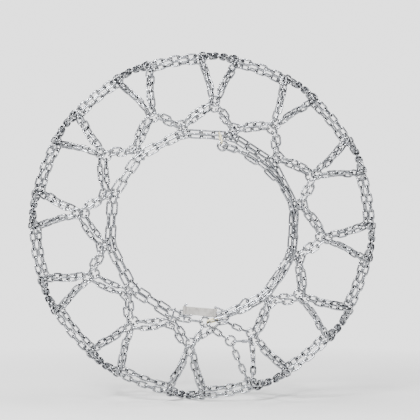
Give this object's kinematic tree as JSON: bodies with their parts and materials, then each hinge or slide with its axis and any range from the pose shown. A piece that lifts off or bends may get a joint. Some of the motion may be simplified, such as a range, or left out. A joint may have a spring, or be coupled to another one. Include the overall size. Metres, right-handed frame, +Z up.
{
  "type": "tire snow chain",
  "caption": "Net-type tire snow chain in its fitted shape, with a side chain on each side, connecting hooks, closing hooks and a tension chain.",
  "frame": {"origin": "centre of the wheel that the chain fits, midway between the two sides of the net", "axes": "+Y along the axle towards the vehicle, +Z up, outer side of the chain facing -Y"},
  "size_m": [1.023, 0.3768, 1.023],
  "materials": {
    "zinc_steel": "bright zinc-plated steel wire, slightly uneven, duller in the joints",
    "yellow_link": "steel link with a thin yellow marking coat",
    "strap_rubber": "pale grey elastic rubber, matt"
  },
  "bodies": {
    "fitted_chain": {"sidewall_rings_outer": "zinc_steel", "sidewall_rings_inner": "zinc_steel", "shoulder_rings": "zinc_steel", "middle_rings": "zinc_steel", "shoulder_chains_outer": "zinc_steel", "shoulder_chains_inner": "zinc_steel", "cross_chains_outer": "zinc_steel", "cross_chains_inner": "zinc_steel", "track_chains_outer": "zinc_steel", "track_chains_inner": "zinc_steel", "net_links_outer": "zinc_steel", "net_links_inner": "zinc_steel", "v_chains_outer": "zinc_steel", "v_chains_inner": "zinc_steel", "side_chain_outer": "zinc_steel", "side_chain_inner": "zinc_steel", "inner_connecting_hooks": "zinc_steel", "closing_ring": "zinc_steel", "end_ring": "zinc_steel", "end_chains": "zinc_steel", "quick_link": "zinc_steel", "marked_link": "yellow_link", "tension_chain": "zinc_steel", "tension_end_hook": "zinc_steel", "turning_link": "zinc_steel", "ring_hanger": "yellow_link", "strap_bail": "zinc_steel", "strap": "strap_rubber"},
    "connecting_hook_1": {"connecting_hook_1": "zinc_steel"},
    "connecting_hook_2": {"connecting_hook_2": "zinc_steel"},
    "connecting_hook_3": {"connecting_hook_3": "zinc_steel"},
    "connecting_hook_4": {"connecting_hook_4": "zinc_steel"},
    "connecting_hook_5": {"connecting_hook_5": "zinc_steel"},
    "connecting_hook_6": {"connecting_hook_6": "zinc_steel"},
    "connecting_hook_7": {"connecting_hook_7": "zinc_steel"},
    "connecting_hook_8": {"connecting_hook_8": "zinc_steel"},
    "connecting_hook_9": {"connecting_hook_9": "zinc_steel"},
    "connecting_hook_10": {"connecting_hook_10": "zinc_steel"},
    "connecting_hook_11": {"connecting_hook_11": "zinc_steel"},
    "closing_hook": {"closing_hook": "zinc_steel"},
    "inner_closing_hook": {"inner_closing_hook": "zinc_steel"},
    "quick_link_nut": {"quick_link_nut": "zinc_steel"},
    "deflection_ring": {"deflection_ring": "zinc_steel"},
    "strap_hook": {"strap_hook": "zinc_steel"}
  },
  "joints": [
    {"name": "connecting_hook_1_swing", "type": "hinge", "parent": "fitted_chain", "child": "connecting_hook_1", "pos_m": [0.2888, -0.15846, 0.0606], "axis": [-0.2053, 0, 0.9787], "range_deg": [-1.5, 1.5]},
    {"name": "connecting_hook_2_swing", "type": "hinge", "parent": "fitted_chain", "child": "connecting_hook_2", "pos_m": [0.21981, -0.15846, 0.19687], "axis": [-0.6672, 0, 0.7449], "range_deg": [-3, 3]},
    {"name": "connecting_hook_3_swing", "type": "hinge", "parent": "fitted_chain", "child": "connecting_hook_3", "pos_m": [0.09192, -0.15846, 0.2804], "axis": [-0.9502, 0, 0.3115], "range_deg": [-1.5, 1.5]},
    {"name": "connecting_hook_4_swing", "type": "hinge", "parent": "fitted_chain", "child": "connecting_hook_4", "pos_m": [-0.0606, -0.15846, 0.2888], "axis": [-0.9787, 0, -0.2053], "range_deg": [-3, 3]},
    {"name": "connecting_hook_5_swing", "type": "hinge", "parent": "fitted_chain", "child": "connecting_hook_5", "pos_m": [-0.19687, -0.15846, 0.21981], "axis": [-0.7449, 0, -0.6672], "range_deg": [-1, 1]},
    {"name": "connecting_hook_6_swing", "type": "hinge", "parent": "fitted_chain", "child": "connecting_hook_6", "pos_m": [-0.2804, -0.15846, 0.09192], "axis": [-0.3115, 0, -0.9502], "range_deg": [-2.5, 2.5]},
    {"name": "connecting_hook_7_swing", "type": "hinge", "parent": "fitted_chain", "child": "connecting_hook_7", "pos_m": [-0.2888, -0.15846, -0.0606], "axis": [0.2053, 0, -0.9787], "range_deg": [-1.5, 1.5]},
    {"name": "connecting_hook_8_swing", "type": "hinge", "parent": "fitted_chain", "child": "connecting_hook_8", "pos_m": [-0.21981, -0.15846, -0.19687], "axis": [0.6672, 0, -0.7449], "range_deg": [-2.5, 2.5]},
    {"name": "connecting_hook_9_swing", "type": "hinge", "parent": "fitted_chain", "child": "connecting_hook_9", "pos_m": [-0.09192, -0.15846, -0.2804], "axis": [0.9502, 0, -0.3115], "range_deg": [-2.5, 2.5]},
    {"name": "connecting_hook_10_swing", "type": "hinge", "parent": "fitted_chain", "child": "connecting_hook_10", "pos_m": [0.19687, -0.15846, -0.21981], "axis": [0.7449, 0, 0.6672], "range_deg": [-3, 3]},
    {"name": "connecting_hook_11_swing", "type": "hinge", "parent": "fitted_chain", "child": "connecting_hook_11", "pos_m": [0.2804, -0.15846, -0.09192], "axis": [0.3115, 0, 0.9502], "range_deg": [-3, 3]},
    {"name": "closing_hook_swing", "type": "hinge", "parent": "fitted_chain", "child": "closing_hook", "pos_m": [0.04439, -0.15504, -0.26901], "axis": [-0.0792, -0.9736, 0.2139], "range_deg": [-57, 0]},
    {"name": "inner_closing_hook_swing", "type": "hinge", "parent": "fitted_chain", "child": "inner_closing_hook", "pos_m": [0.10873, 0.15386, -0.24712], "axis": [-0.3424, 0.652, 0.6765], "range_deg": [-60, 0]},
    {"name": "quick_link_nut_travel", "type": "slide", "parent": "fitted_chain", "child": "quick_link_nut", "axis": [-0.9998, -0.0026, -0.0206], "range_m": [0, 0.012]},
    {"name": "deflection_ring_turn", "type": "hinge", "parent": "fitted_chain", "child": "deflection_ring", "pos_m": [0.05919, -0.17106, 0.23052], "axis": [0, 1, 0], "continuous": true},
    {"name": "strap_hook_turn", "type": "hinge", "parent": "fitted_chain", "child": "strap_hook", "pos_m": [-0.05024, -0.16045, -0.2428], "axis": [0.0785, 0, 0.9969], "range_deg": [-12, 12]}
  ]
}
